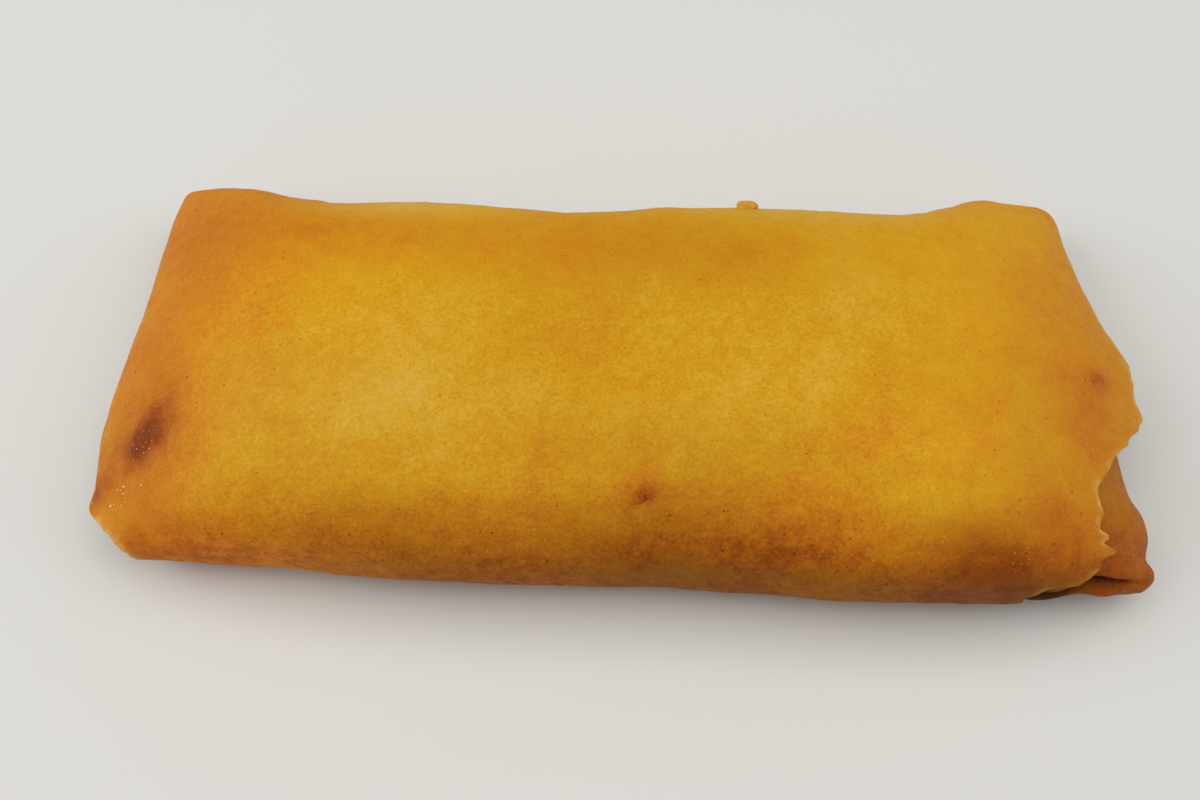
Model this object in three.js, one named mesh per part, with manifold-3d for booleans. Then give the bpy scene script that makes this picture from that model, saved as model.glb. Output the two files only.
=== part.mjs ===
// Egg roll: a thin sheet of dough rolled flat round its filling, folded in at both ends and
// fried until crisp. The outer turn is torn off at the front right corner, where the turn
// below shows with its own folded end, and chipped at the front left corner.
// Millimetres, +Z up, +X along the roll, +Y towards its back, resting flat on Z = 0.

import * as THREE from "three";
import { mergeVertices } from "three/addons/utils/BufferGeometryUtils.js";
import Module from "manifold-3d";

// Driving sizes of the roll
const HALF_LENGTH = 68;
const HALF_DEPTH = 28.4;
const CROWN_HEIGHT = 21;
const SIDE_HEIGHT = 8.5;
const END_TOP_HEIGHT = 7.4;
const END_SIDE_HEIGHT = 4.6;
const END_LIFT = 1.2;
const PRESSED_FLAT = 0.7;
const SHEET = 1.2;
const HALF_SLIT = 0.35;
const TOP_ROUNDNESS = 2.7;
const BOTTOM_ROUNDNESS = 3;
const HALF_GIRTH = 70;

// Plan outline of the long sides at their widest, as length place and depth place. The back
// side runs in a little along the middle and flares at both ends.
const BACK_SIDE = [
  [-68, 32], [-64, 30.4], [-60, 29.2], [-54, 27.5], [-48, 24.9], [-42, 23.6], [-36, 23.7], [-24, 23.7],
  [-10, 22.7], [5, 23.8], [20, 24.4], [34, 23.9], [40, 24.1], [46, 26.7], [51, 29.3], [57, 30.3],
  [62, 31.5], [66, 31.7],
];
const FRONT_SIDE = [
  [-68, -28.6], [-57, -29], [-48, -29.5], [-42, -29.6], [-36, -30.2], [-28, -30.6], [-20, -30.7],
  [-10, -30.8], [0, -30.6], [6, -30.3], [12, -30.9], [20, -31.1], [30, -31.5], [38, -31.5],
  [47, -31.2], [60, -29.8], [68, -29.2],
];
const INNER_FRONT_SIDE = [
  [-68, -25.2], [-40, -27.2], [40, -29.8], [48, -30.7], [52, -30.8], [56, -29.5], [60, -29.4],
  [68, -27.6],
];

// Fold line of each end, as girth distance from the middle of the front side (0) over the top
// to the middle of the back side (70), and length place. The underside mirrors the top.
const FOLD_LEFT = [
  [0, -66.3], [10, -66.6], [18, -67.8], [24, -68.2], [31, -68.2], [40, -67.8], [60, -67.9],
  [65, -67.5], [68, -66.5], [70, -65.1],
];
const FOLD_RIGHT = [
  [0, 66.5], [10, 67.8], [22, 68.8], [29, 69.2], [34, 69.4], [38, 68.2], [41, 67], [45, 66],
  [50, 65.1], [57, 64.3], [63, 64.3], [66, 64], [68, 63.2], [70, 61.1],
];
const INNER_FOLD_LEFT = [
  [0, -55], [14, -57.5], [20, -61], [26, -65], [31, -66.5], [40, -66.5], [60, -66.5], [65, -66.4],
  [68, -65.6], [70, -64],
];
const INNER_FOLD_RIGHT = [
  [0, 64.4], [3, 65.5], [6, 66.2], [9, 65.6], [12, 66.4], [14.5, 66.3], [17, 65.4], [20, 65],
  [24, 64.9], [28, 65.6], [31, 65.8], [34, 65.9], [37, 66.6], [41, 65.7], [45, 64.1], [50, 63.2],
  [57, 62.8], [66, 62.2], [70, 59.5],
];

// How much of the outer turn is missing beyond its torn edges, as girth distance (below the
// front side negative) and length. The right tear has two slivers of sheet left standing.
const TORN_LEFT = [
  [-40, 0], [-28, 3.5], [-18, 5.6], [-10, 6.6], [-5, 6.8], [-1.2, 5.9], [2.5, 5.2], [5.4, 4.2],
  [7.2, 2.8], [9.4, 1.1], [11.3, -0.4], [13.5, -0.1], [15.6, 0.5], [20, 0], [25, 0],
];
const TORN_RIGHT = [
  [-40, 0], [-30, 8], [-20, 15.5], [-13, 17.8], [-7, 18.3], [-3, 18.1], [0.5, 18], [1.8, 17.4],
  [2.6, 16.6], [3.2, 15.4], [3.7, 13.4], [4.2, 12.3], [5.3, 11.6], [6.4, 11.2], [7.9, 10.6],
  [10.4, 11.1], [12.4, 11.5], [13.8, 11.2], [16.4, 11.7], [17.9, 10.2], [20.1, 8.8], [23.4, 5.4],
  [26.2, 2.9], [28, 1.2], [30, 2.6], [33.5, 2.3], [37, 0.6], [40, 0],
];
const SLIVERS = [
  { at: 10.7, width: 0.45, length: 1.3 },
  { at: 8.9, width: 0.5, length: 1.9 },
];

// Swells and dents, as place, half widths along the roll and round it, and height.
const RELIEF = [
  // Blisters by the left fold and by the right one
  { x: -59, q: 20.5, alongX: 2.2, alongQ: 4.5, height: 0.55 },
  { x: 59.7, q: 31, alongX: 2.5, alongQ: 2.5, height: 0.35 },
  // Pit in the front of the top, and the swell round it
  { x: 2.8, q: 12.7, alongX: 1.2, alongQ: 1.1, height: -0.55 },
  { x: 3.3, q: 13.6, alongX: 5, alongQ: 3.5, height: 0.4 },
  // Filling that shows through as two low mounds, with hollows between and beside them
  { x: -28, q: 30, alongX: 17, alongQ: 12, height: 0.6 },
  { x: 30, q: 26, alongX: 15, alongQ: 11, height: 0.7 },
  { x: 2, q: 38, alongX: 12, alongQ: 12, height: -0.5 },
  { x: 50, q: 48, alongX: 7, alongQ: 10, height: -0.6 },
];

// The fold of the turn below opens as a mouth at the front right corner. Its middle line, its
// half height and its depth go by length place, and it fades in under the outer turn.
const MOUTH = {
  line: [[46, -1.5], [51, -0.8], [54, 0.2], [57, 2.1], [61, 3.2], [65, 4]],
  halfHeight: [[46, 2.6], [51, 2.4], [54, 2.2], [57, 1.9], [61, 1.2], [65, 0.8]],
  depth: [[44, 1], [53, 1.4], [57, 3.2], [60, 3], [65, 0]],
  opens: [39, 45],
};

// Rounding of a folded end in steps outwards and into the roll: first the fold's own lip,
// then the wall down into the slit between its upper and lower half.
const OUTER_LIP = [
  { inset: 0.35, out: 0.3 },
  { inset: 0.8, out: 0.15 },
  { inset: 1.1, out: -0.5 },
  { inset: 2.6, out: -6 },
];
const INNER_LIP = [
  { inset: 0.45, out: 0.35 },
  { inset: 1.2, out: 0.3 },
  { inset: 1.65, out: -0.4 },
  { inset: 1.9, out: -2.4 },
];

// The two turns of sheet that show. The turn below stays clear of the outer one's underside
// and never rises past the outer one's shoulder.
const OUTER_TURN = {
  inset: 0,
  shoulder: 24,
  under: null,
  raisedBy: 0,
  front: FRONT_SIDE,
  folds: [FOLD_LEFT, FOLD_RIGHT],
  torn: [TORN_LEFT, TORN_RIGHT],
  lip: OUTER_LIP,
  stations: spread(30, 0.55),
};
const INNER_TURN = {
  inset: SHEET,
  shoulder: 17,
  under: OUTER_TURN,
  raisedBy: 0.4,
  front: INNER_FRONT_SIDE,
  folds: [INNER_FOLD_LEFT, INNER_FOLD_RIGHT],
  torn: null,
  lip: INNER_LIP,
  stations: [
    -1, -0.95, -0.88, -0.8, -0.6, -0.2, 0.3, 0.55, 0.62, 0.66, 0.7, 0.73, 0.755, 0.78, 0.8, 0.82, 0.84,
    0.86, 0.88, 0.9, 0.92, 0.94, 0.96, 0.98, 1,
  ],
};
const SHOULDER_ROUNDNESS = 1.35;
const GIRTH_STEPS = 36;
const GIRTH_EVEN = 0.42;
const TABLE_STEPS = 1200;
const NORMAL_STEP = 0.5;
const SAME_POINT = 1e-4;

// Places from -1 to 1 that lie closer together towards both ends.
function spread(count, even) {
  const places = [];
  for (let i = 0; i <= count; i += 1) {
    const t = (2 * i) / count - 1;
    places.push(even * t + (1 - even) * Math.sin((t * Math.PI) / 2));
  }
  return places;
}

// Smooth curve through control points: cubic pieces whose slope at a point is that between
// its two neighbours, and level beyond the first and last point.
function through(points, at) {
  const last = points.length - 1;
  const x = Math.min(Math.max(at, points[0][0]), points[last][0]);
  let i = 0;
  while (i < last - 1 && x >= points[i + 1][0]) i += 1;
  const slope = (k) => {
    const a = points[Math.max(k - 1, 0)];
    const b = points[Math.min(k + 1, last)];
    return (b[1] - a[1]) / (b[0] - a[0]);
  };
  const [x0, y0] = points[i];
  const [x1, y1] = points[i + 1];
  const h = x1 - x0;
  const t = (x - x0) / h;
  const rise = t * t * (3 - 2 * t);
  return y0 + (y1 - y0) * rise + h * (t * (1 - t) ** 2 * slope(i) - t * t * (1 - t) * slope(i + 1));
}

function signedPower(value, exponent) {
  return Math.sign(value) * Math.abs(value) ** exponent;
}

function bell(distance, halfWidth) {
  return Math.exp(-((distance / halfWidth) ** 2));
}

function smoothStep(value, low, high) {
  const t = Math.min(Math.max((value - low) / (high - low), 0), 1);
  return t * t * (3 - 2 * t);
}

// Angle in the roll's section, measured from its back side, for each girth distance: the
// rounded section is walked from the front over the top in small steps.
const girthTable = makeGirthTable();

function makeGirthTable() {
  const table = [[0, Math.PI]];
  let walked = 0;
  let before = null;
  for (let i = 0; i <= TABLE_STEPS; i += 1) {
    const angle = Math.PI * (1 - i / TABLE_STEPS);
    const y = HALF_DEPTH * signedPower(Math.cos(angle), 2 / TOP_ROUNDNESS);
    const z = (CROWN_HEIGHT - SIDE_HEIGHT) * signedPower(Math.sin(angle), 2 / TOP_ROUNDNESS);
    if (before) {
      walked += Math.hypot(y - before[0], z - before[1]);
      table.push([walked, angle]);
    }
    before = [y, z];
  }
  return table.map(([q, angle]) => [(q * HALF_GIRTH) / walked, angle]);
}

function sectionAngle(q) {
  const distance = Math.min(Math.abs(q), HALF_GIRTH);
  let low = 0;
  let high = girthTable.length - 1;
  while (high - low > 1) {
    const middle = (low + high) >> 1;
    if (girthTable[middle][0] <= distance) low = middle;
    else high = middle;
  }
  const [q0, a0] = girthTable[low];
  const [q1, a1] = girthTable[high];
  const angle = a0 + ((a1 - a0) * (distance - q0)) / (q1 - q0);
  return q < 0 ? 2 * Math.PI - angle : angle;
}

// Height of a turn over its shoulder, from 0 at the fold line to 1 where the shoulder ends.
function shoulderHeight(turn, x, q) {
  const fold = through(turn.folds[x > 0 ? 1 : 0], Math.abs(q));
  const toFold = Math.min(Math.max((Math.abs(fold) - Math.abs(x)) / turn.shoulder, 0), 1);
  const height = (1 - (1 - toFold) ** SHOULDER_ROUNDNESS) ** (1 / SHOULDER_ROUNDNESS);
  return turn.under ? Math.min(height, shoulderHeight(turn.under, x, q)) : height;
}

// Section of a turn at one length place: a flattened oval, rounder on top than below, which
// gets lower over the shoulder towards the fold and is pressed flat where it rests.
function sectionPoint(turn, x, q, inset) {
  const risen = shoulderHeight(turn, x, q);
  const front = through(turn.front, x) + inset - turn.inset;
  const back = through(BACK_SIDE, x) - inset;
  const side = END_SIDE_HEIGHT + (SIDE_HEIGHT - END_SIDE_HEIGHT) * risen;
  const top = END_TOP_HEIGHT + (CROWN_HEIGHT - END_TOP_HEIGHT) * risen - inset;
  const bottom = END_LIFT * (1 - risen) - PRESSED_FLAT + inset + turn.raisedBy;
  const angle = sectionAngle(q);
  const above = Math.sin(angle) >= 0;
  const power = 2 / (above ? TOP_ROUNDNESS : BOTTOM_ROUNDNESS);
  const halfHeight = Math.max(above ? top - side : side - bottom, HALF_SLIT);
  const y = (front + back) / 2 + ((back - front) / 2) * signedPower(Math.cos(angle), power);
  const z = side + halfHeight * signedPower(Math.sin(angle), power);
  return [y, z];
}

function reliefHeight(turn, x, q) {
  if (turn === INNER_TURN) {
    const depth = smoothStep(x, ...MOUTH.opens) * through(MOUTH.depth, x);
    return -depth * bell(q - through(MOUTH.line, x), through(MOUTH.halfHeight, x));
  }
  let height = 0;
  for (const part of RELIEF) {
    height += part.height * bell(x - part.x, part.alongX) * bell(q - part.q, part.alongQ);
  }
  return height;
}

// A point of the turn's surface, moved out of the section by the relief along the section's
// own normal, and never below the surface it rests on.
function turnPoint(turn, x, q, inset) {
  const [y, z] = sectionPoint(turn, x, q, inset);
  const [ya, za] = sectionPoint(turn, x, Math.max(q - NORMAL_STEP, -HALF_GIRTH), inset);
  const [yb, zb] = sectionPoint(turn, x, Math.min(q + NORMAL_STEP, HALF_GIRTH), inset);
  const size = Math.hypot(yb - ya, zb - za) || 1;
  const out = reliefHeight(turn, x, q);
  return [x, y - (out * (zb - za)) / size, Math.max(z + (out * (yb - ya)) / size, 0)];
}

// Edge line of a turn's end: its fold, less what is torn off.
function endEdge(turn, end, q) {
  const fold = through(turn.folds[end], Math.abs(q));
  if (!turn.torn) return fold;
  const missing = through(turn.torn[end], q);
  if (end === 0) return fold + missing;
  let standing = 0;
  for (const sliver of SLIVERS) standing += sliver.length * bell(q - sliver.at, sliver.width);
  return fold - missing + standing;
}

// Length place of a station: straight in the middle of the roll and bent towards the end's
// own edge line by the cube of its place.
function stationPlace(turn, s, q) {
  const end = s > 0 ? 1 : 0;
  const edge = Math.abs(endEdge(turn, end, q));
  return s * HALF_LENGTH + s ** 3 * (edge - HALF_LENGTH);
}

// Girth distances once round, closer together at the front where the tears are.
function girthPlaces() {
  const half = [];
  for (let i = 0; i <= GIRTH_STEPS; i += 1) {
    const t = i / GIRTH_STEPS;
    half.push(HALF_GIRTH * (GIRTH_EVEN * t + (1 - GIRTH_EVEN) * t ** 2.2));
  }
  const under = half.slice(1, -1).map((q) => -q);
  return half.concat(under.reverse());
}

// One turn as a closed body: rings from the left end to the right, then each end rounded
// over its lip and closed across the slit, upper half to lower half.
function turnGeometry(turn) {
  const girth = girthPlaces();
  const count = girth.length;
  const station = (s) => girth.map((q) => turnPoint(turn, stationPlace(turn, s, q), q, turn.inset));
  const rings = turn.stations.map(station);
  for (const { inset, out } of turn.lip) {
    const left = girth.map((q) => turnPoint(turn, endEdge(turn, 0, q) - out, q, turn.inset + inset));
    const right = girth.map((q) => turnPoint(turn, endEdge(turn, 1, q) + out, q, turn.inset + inset));
    rings.unshift(left);
    rings.push(right);
  }
  const index = [];
  for (let r = 0; r + 1 < rings.length; r += 1) {
    for (let j = 0; j < count; j += 1) {
      const a = r * count + j;
      const b = r * count + ((j + 1) % count);
      index.push(a, a + count, b + count, a, b + count, b);
    }
  }
  const lastRing = (rings.length - 1) * count;
  for (let j = 0; j < GIRTH_STEPS; j += 1) {
    const below = (count - j) % count;
    const nextBelow = count - j - 1;
    const corners = [j, j + 1, nextBelow, below];
    const sides = [[0, 1, 2], [0, 2, 3]];
    for (const side of sides) {
      const [a, b, c] = side.map((k) => corners[k]);
      if (a === b || b === c || a === c) continue;
      index.push(a, b, c);
      index.push(lastRing + a, lastRing + c, lastRing + b);
    }
  }
  const geometry = new THREE.BufferGeometry();
  geometry.setAttribute("position", new THREE.BufferAttribute(new Float32Array(rings.flat(2)), 3));
  geometry.setIndex(index);
  return mergeVertices(geometry, SAME_POINT);
}

const wasm = await Module();
wasm.setup();

function toSolid(geometry) {
  const vertProperties = new Float32Array(geometry.attributes.position.array);
  const triVerts = new Uint32Array(geometry.index.array);
  return new wasm.Manifold(new wasm.Mesh({ numProp: 3, vertProperties, triVerts }));
}

function toGeometry(solid) {
  const mesh = solid.getMesh();
  const geometry = new THREE.BufferGeometry();
  geometry.setAttribute("position", new THREE.BufferAttribute(new Float32Array(mesh.vertProperties), 3));
  geometry.setIndex(new THREE.BufferAttribute(new Uint32Array(mesh.triVerts), 1));
  geometry.computeVertexNormals();
  return geometry;
}

const roll = toSolid(turnGeometry(OUTER_TURN)).add(toSolid(turnGeometry(INNER_TURN)));

const friedDough = new THREE.MeshStandardMaterial({ color: 0xc98a24, roughness: 0.5, metalness: 0 });
const eggRoll = new THREE.Mesh(toGeometry(roll), friedDough);
eggRoll.name = "egg_roll";

const group = new THREE.Group();
group.add(eggRoll);

export default group;
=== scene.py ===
import math

import bpy
import numpy as np
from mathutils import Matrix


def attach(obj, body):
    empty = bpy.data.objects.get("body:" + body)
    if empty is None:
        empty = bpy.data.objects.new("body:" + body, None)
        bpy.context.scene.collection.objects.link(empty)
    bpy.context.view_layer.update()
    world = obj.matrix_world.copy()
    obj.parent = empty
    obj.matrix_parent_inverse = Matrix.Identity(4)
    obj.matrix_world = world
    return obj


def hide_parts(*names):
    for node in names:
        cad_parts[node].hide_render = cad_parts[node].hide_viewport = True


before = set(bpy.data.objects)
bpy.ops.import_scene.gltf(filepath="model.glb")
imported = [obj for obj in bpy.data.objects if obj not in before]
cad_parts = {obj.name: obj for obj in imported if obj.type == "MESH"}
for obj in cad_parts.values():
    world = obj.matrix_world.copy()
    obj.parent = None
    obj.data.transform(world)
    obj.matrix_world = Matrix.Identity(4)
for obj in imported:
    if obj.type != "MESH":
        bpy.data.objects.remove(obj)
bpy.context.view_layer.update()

# The outer turn of the wrapper. The real one is a thin sheet of wheat dough, rolled flat round
# its filling, folded in at both ends and fried until crisp. It is torn off at the front right
# corner and chipped at the front left one. Sizes are millimetres; meshes are made in metres.
MM = 0.001
HALF_LENGTH = 68.0
HALF_DEPTH = 28.4
CROWN_HEIGHT = 21.0
SIDE_HEIGHT = 8.5
END_TOP_HEIGHT = 7.4
END_SIDE_HEIGHT = 4.6
END_LIFT = 1.2
PRESSED_FLAT = 0.7
SHEET = 1.2
HALF_SLIT = 0.35
TOP_ROUNDNESS = 2.7
BOTTOM_ROUNDNESS = 3.0
SHOULDER_ROUNDNESS = 1.35
HALF_GIRTH = 70.0

# Plan outline of the long sides, as length place and depth place.
BACK_SIDE = [
    (-68, 32), (-64, 30.4), (-60, 29.2), (-54, 27.5), (-48, 24.9), (-42, 23.6), (-36, 23.7),
    (-24, 23.7), (-10, 22.7), (5, 23.8), (20, 24.4), (34, 23.9), (40, 24.1), (46, 26.7), (51, 29.3),
    (57, 30.3), (62, 31.5), (66, 31.7),
]
FRONT_SIDE = [
    (-68, -28.6), (-57, -29), (-48, -29.5), (-42, -29.6), (-36, -30.2), (-28, -30.6), (-20, -30.7),
    (-10, -30.8), (0, -30.6), (6, -30.3), (12, -30.9), (20, -31.1), (30, -31.5), (38, -31.5),
    (47, -31.2), (60, -29.8), (68, -29.2),
]

# Fold line of each end, as girth distance from the middle of the front side (0) over the top to
# the middle of the back side (70), and length place. The underside mirrors the top.
FOLD_LEFT = [
    (0, -66.3), (10, -66.6), (18, -67.8), (24, -68.2), (31, -68.2), (40, -67.8), (60, -67.9),
    (65, -67.5), (68, -66.5), (70, -65.1),
]
FOLD_RIGHT = [
    (0, 66.5), (10, 67.8), (22, 68.8), (29, 69.2), (34, 69.4), (38, 68.2), (41, 67), (45, 66),
    (50, 65.1), (57, 64.3), (63, 64.3), (66, 64), (68, 63.2), (70, 61.1),
]

# How much of the turn is missing at its torn ends, as girth distance and length.
TORN_LEFT = [
    (-40, 0), (-28, 3.5), (-18, 5.6), (-10, 6.6), (-5, 6.8), (-1.2, 5.9), (2.5, 5.2), (5.4, 4.2),
    (7.2, 2.8), (9.4, 1.1), (11.3, -0.4), (13.5, -0.1), (15.6, 0.5), (20, 0), (25, 0),
]
TORN_RIGHT = [
    (-40, 0), (-30, 8), (-20, 15.5), (-13, 17.8), (-7, 18.3), (-3, 18.1), (0.5, 18), (1.8, 17.4),
    (2.6, 16.6), (3.2, 15.4), (3.7, 13.4), (4.2, 12.3), (5.3, 11.6), (6.4, 11.2), (7.9, 10.6),
    (10.4, 11.1), (12.4, 11.5), (13.8, 11.2), (16.4, 11.7), (17.9, 10.2), (20.1, 8.8), (23.4, 5.4),
    (26.2, 2.9), (28, 1.2), (30, 2.6), (33.5, 2.3), (37, 0.6), (40, 0),
]
# Slivers of sheet left standing in the right tear: girth distance, half width and length.
SLIVERS = [(10.7, 0.45, 1.3), (8.9, 0.5, 1.9)]

# Swells and dents: length place, girth distance, half widths along and round, and height. They
# are two blisters, the pit and the swell round it, and the filling's low mounds and hollows.
RELIEF = [
    (-59, 20.5, 2.2, 4.5, 0.55), (59.7, 31, 2.5, 2.5, 0.35),
    (2.8, 12.7, 1.2, 1.1, -0.55), (3.3, 13.6, 5, 3.5, 0.4),
    (-28, 30, 17, 12, 0.6), (30, 26, 15, 11, 0.7), (2, 38, 12, 12, -0.5), (50, 48, 7, 10, -0.6),
]
# Uneven surface of the fried sheet, as cell size and height: lumps, wrinkles and fry blisters.
UNEVEN = [(11.0, 0.16), (5.0, 0.10), (2.2, 0.07), (1.2, 0.04)]
# Seam under the roll, where the sheet's last edge is pressed on: girth distance, swing to either
# side and length of a radian of it, width, depth, and where it fades out towards both ends.
SEAM_AT, SEAM_SWING, SEAM_RADIAN = -46.0, 3.0, 23.0
SEAM_WIDTH, SEAM_DEPTH, SEAM_ENDS = 0.8, 0.5, (50, 60)
# Teeth of a torn edge, as spacing along the tear and length, at full size where this much is
# gone. They follow one row of the unevenness, this many cells along.
TEETH = [(1.6, 0.34), (0.75, 0.26)]
TEETH_FULL_AT, TEETH_ROW = 2.0, 3.3
# Thickness of the sheet where it is torn, and how far its torn edge bulges.
TORN_THICK, TORN_BULGE = 1.0, 0.3
# Step to either side along the girth from which a section's normal is taken.
NORMAL_STEP = 0.5


def through(points, at):
    """Smooth curve through control points: cubic pieces whose slope at a point is that between
    its two neighbours, and level beyond the first and last point."""
    xs, ys = np.array(points, float).T
    last = len(xs) - 1
    x = np.clip(at, xs[0], xs[-1])
    i = np.clip(np.searchsorted(xs, x, side="right") - 1, 0, last - 1)
    before = np.maximum(np.arange(last + 1) - 1, 0)
    after = np.minimum(np.arange(last + 1) + 1, last)
    slope = (ys[after] - ys[before]) / (xs[after] - xs[before])
    h = xs[i + 1] - xs[i]
    t = (x - xs[i]) / h
    bend = t * (1 - t) ** 2 * slope[i] - t * t * (1 - t) * slope[i + 1]
    return ys[i] + (ys[i + 1] - ys[i]) * t * t * (3 - 2 * t) + h * bend


def signed_power(value, exponent):
    """The value's size raised to the exponent, with the value's own sign."""
    return np.sign(value) * np.abs(value) ** exponent


def bell(distance, half_width):
    """Bell curve: e to the power of minus the square of distance over half width."""
    return np.exp(-((distance / half_width) ** 2))


def smooth_step(value, low, high):
    """From 0 at low to 1 at high, level at both: t squared times three less twice t."""
    t = np.clip((value - low) / (high - low), 0, 1)
    return t * t * (3 - 2 * t)


# Cells to spare along the roll, and how far before the last corner a place has to stay.
SPARE_CELLS, LAST_CELL = 4, 1.001


def unevenness(x, q, cell, seed):
    """Random height from -1 to 1 that wraps round the girth: random values at the corners of
    square cells, blended across each cell by the smooth step of the place in it."""
    around = round(2 * HALF_GIRTH / cell)
    along = math.ceil(2 * HALF_LENGTH / cell) + SPARE_CELLS
    corners = np.random.default_rng(seed).uniform(-1, 1, (along, around))
    u = np.clip(x / cell + along / 2, 0, along - LAST_CELL)
    v = np.mod(q, 2 * HALF_GIRTH) * around / (2 * HALF_GIRTH)
    i = np.floor(u).astype(int)
    j = np.floor(v).astype(int) % around
    a = smooth_step(u - i, 0, 1)
    b = smooth_step(v - np.floor(v), 0, 1)
    near = corners[i, j] * (1 - b) + corners[i, (j + 1) % around] * b
    far = corners[i + 1, j] * (1 - b) + corners[i + 1, (j + 1) % around] * b
    return near * (1 - a) + far * a


# Angle in the section, measured from the back side, for each girth distance over the top: the
# rounded section of the middle is walked from the front in small steps.
WALK_POINTS = 1201
walk_angle = np.linspace(math.pi, 0, WALK_POINTS)
walk_y = HALF_DEPTH * signed_power(np.cos(walk_angle), 2 / TOP_ROUNDNESS)
walk_z = (CROWN_HEIGHT - SIDE_HEIGHT) * signed_power(np.sin(walk_angle), 2 / TOP_ROUNDNESS)
walked = np.concatenate([[0], np.cumsum(np.hypot(np.diff(walk_y), np.diff(walk_z)))])
walk_girth = walked * HALF_GIRTH / walked[-1]


def shoulder_height(turn, x, q):
    """Height of a turn over its shoulder, from 0 at the fold line to 1 where the shoulder ends:
    a quarter of a rounded diamond in the distance to the fold."""
    left, right = turn["folds"]
    fold = np.where(x > 0, through(right, np.abs(q)), through(left, np.abs(q)))
    to_fold = np.clip((np.abs(fold) - np.abs(x)) / turn["shoulder"], 0, 1)
    height = (1 - (1 - to_fold) ** SHOULDER_ROUNDNESS) ** (1 / SHOULDER_ROUNDNESS)
    if turn["under"]:
        height = np.minimum(height, shoulder_height(turn["under"], x, q))
    return height


def section_point(turn, x, q, inset):
    """Depth and height at a length place and girth distance: a flattened oval, rounder on top
    than below, lower over the shoulder and lifted a little at the fold."""
    risen = shoulder_height(turn, x, q)
    front = through(turn["front"], x) + inset - turn["inset"]
    back = through(BACK_SIDE, x) - inset
    side = END_SIDE_HEIGHT + (SIDE_HEIGHT - END_SIDE_HEIGHT) * risen
    top = END_TOP_HEIGHT + (CROWN_HEIGHT - END_TOP_HEIGHT) * risen - inset
    bottom = END_LIFT * (1 - risen) - PRESSED_FLAT + inset + turn["raised_by"]
    angle = np.interp(np.abs(q), walk_girth, walk_angle)
    above = q >= 0
    power = np.where(above, 2 / TOP_ROUNDNESS, 2 / BOTTOM_ROUNDNESS)
    half_height = np.maximum(np.where(above, top - side, side - bottom), HALF_SLIT)
    rise = half_height * signed_power(np.sin(angle), power)
    y = (front + back) / 2 + (back - front) / 2 * signed_power(np.cos(angle), power)
    return y, side + np.where(above, rise, -rise)


def turn_point(turn, x, q, inset, relief):
    """Point of a turn's surface: the section's point moved along the section's own normal by
    the relief, and never below the surface that the roll rests on."""
    y, z = section_point(turn, x, q, inset)
    ya, za = section_point(turn, x, np.maximum(q - NORMAL_STEP, -HALF_GIRTH), inset)
    yb, zb = section_point(turn, x, np.minimum(q + NORMAL_STEP, HALF_GIRTH), inset)
    size = np.maximum(np.hypot(yb - ya, zb - za), 1e-6)
    out = relief(x, q)
    y = y - out * (zb - za) / size
    z = np.maximum(z + out * (yb - ya) / size, 0)
    return np.stack(np.broadcast_arrays(x, y, z), axis=-1)


def outer_relief(x, q):
    """Sum of the bell-shaped swells and dents, the uneven surface and the seam's groove."""
    height = sum(h * bell(x - at, along) * bell(q - round_at, around)
                 for at, round_at, along, around, h in RELIEF)
    for k, (cell, size) in enumerate(UNEVEN):
        height = height + size * unevenness(x, q, cell, seed=20 + k)
    seam = SEAM_AT + SEAM_SWING * np.sin(x / SEAM_RADIAN)
    inward = 1 - smooth_step(np.abs(x), *SEAM_ENDS)
    return height - inward * (PRESSED_FLAT + SEAM_DEPTH) * bell(q - seam, SEAM_WIDTH)


def torn_off(end, q):
    """Length missing at an end: the tear's curve, its teeth, less the slivers left standing."""
    if end == 0:
        missing = through(TORN_LEFT, q)
    else:
        missing = through(TORN_RIGHT, q)
        for at, width, length in SLIVERS:
            missing = missing - length * bell(q - at, width)
    torn = smooth_step(missing, 0, TEETH_FULL_AT)
    for k, (spacing, length) in enumerate(TEETH):
        row = unevenness(spacing * TEETH_ROW, q, spacing, seed=40 + 2 * k + end)
        missing = missing + torn * length * row
    return missing


def outer_edge(end, q):
    """Length place of the outer turn's edge: its fold line less what is torn off there."""
    fold = through(outer_turn["folds"][end], np.abs(q))
    return fold + torn_off(0, q) if end == 0 else fold - torn_off(1, q)


def inner_edge(end, q):
    """Length place of the edge of the turn below, which is its fold line."""
    return through(inner_turn["folds"][end], np.abs(q))


def turn_rings(turn, edge, stations, girth, lip, relief):
    """Rings of a turn from left to right as an array of rings by girth by three. A station runs
    straight round the middle and bends towards the end's own edge by the cube of its place.
    Then the lip goes over the edge and into the slit by its list of insets and distances."""
    s = stations[:, None]
    q = girth[None, :]
    reach = np.where(s > 0, np.abs(edge(1, q)), np.abs(edge(0, q)))
    x = s * HALF_LENGTH + s ** 3 * (reach - HALF_LENGTH)
    skin = turn_point(turn, x, np.broadcast_to(q, x.shape), turn["inset"], relief)
    inset, out = np.array(lip).T[:, :, None]
    rows = np.broadcast_to(q, (len(lip), len(girth)))
    left = turn_point(turn, edge(0, rows) - out, rows, turn["inset"] + inset, relief)
    right = turn_point(turn, edge(1, rows) + out, rows, turn["inset"] + inset, relief)
    return np.concatenate([left[::-1], skin, right])


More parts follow.
